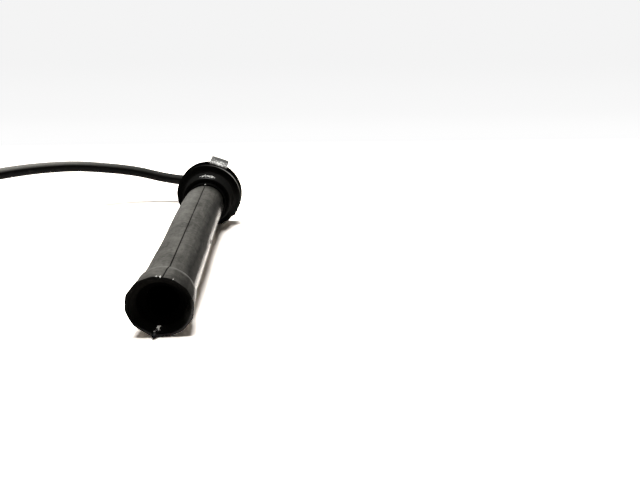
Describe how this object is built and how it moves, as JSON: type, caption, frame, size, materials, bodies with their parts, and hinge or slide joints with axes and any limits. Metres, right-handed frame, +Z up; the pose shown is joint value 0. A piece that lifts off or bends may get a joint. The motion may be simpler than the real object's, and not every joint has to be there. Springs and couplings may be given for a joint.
{
  "type": "spark plug wire",
  "caption": "Ignition lead with a long tubular rubber plug boot, a rimmed well cap with pull tab, black cable in a tied coil and a short coil boot.",
  "frame": {"origin": "on the floor, under the middle of the plug boot and its cap, without the free cable and what is on it", "axes": "+Y from the boot's mouth toward the cap and the cable's exit, +Z up, +X to the right as seen from the mouth"},
  "size_m": [0.2187, 0.2093, 0.0423],
  "materials": {
    "boot_rubber": "satin moulded rubber, slightly dusty",
    "cap_rubber": "near-black rubber with a soft gloss",
    "cable_jacket": "satin extruded jacket",
    "plated_steel": "plated stamping",
    "spring_steel": "drawn spring wire",
    "tie_nylon": "moulded nylon"
  },
  "bodies": {
    "root": {"plug_boot": "boot_rubber", "well_cap": "cap_rubber", "plug_terminal": "plated_steel", "plug_snap_ring": "spring_steel", "cable_in_boot": "cable_jacket", "cable": "cable_jacket", "cable_coil": "cable_jacket", "cable_tail": "cable_jacket", "coil_tie": "tie_nylon", "coil_boot": "boot_rubber", "coil_terminal": "plated_steel", "coil_snap_ring": "spring_steel"}
  },
  "joints": []
}
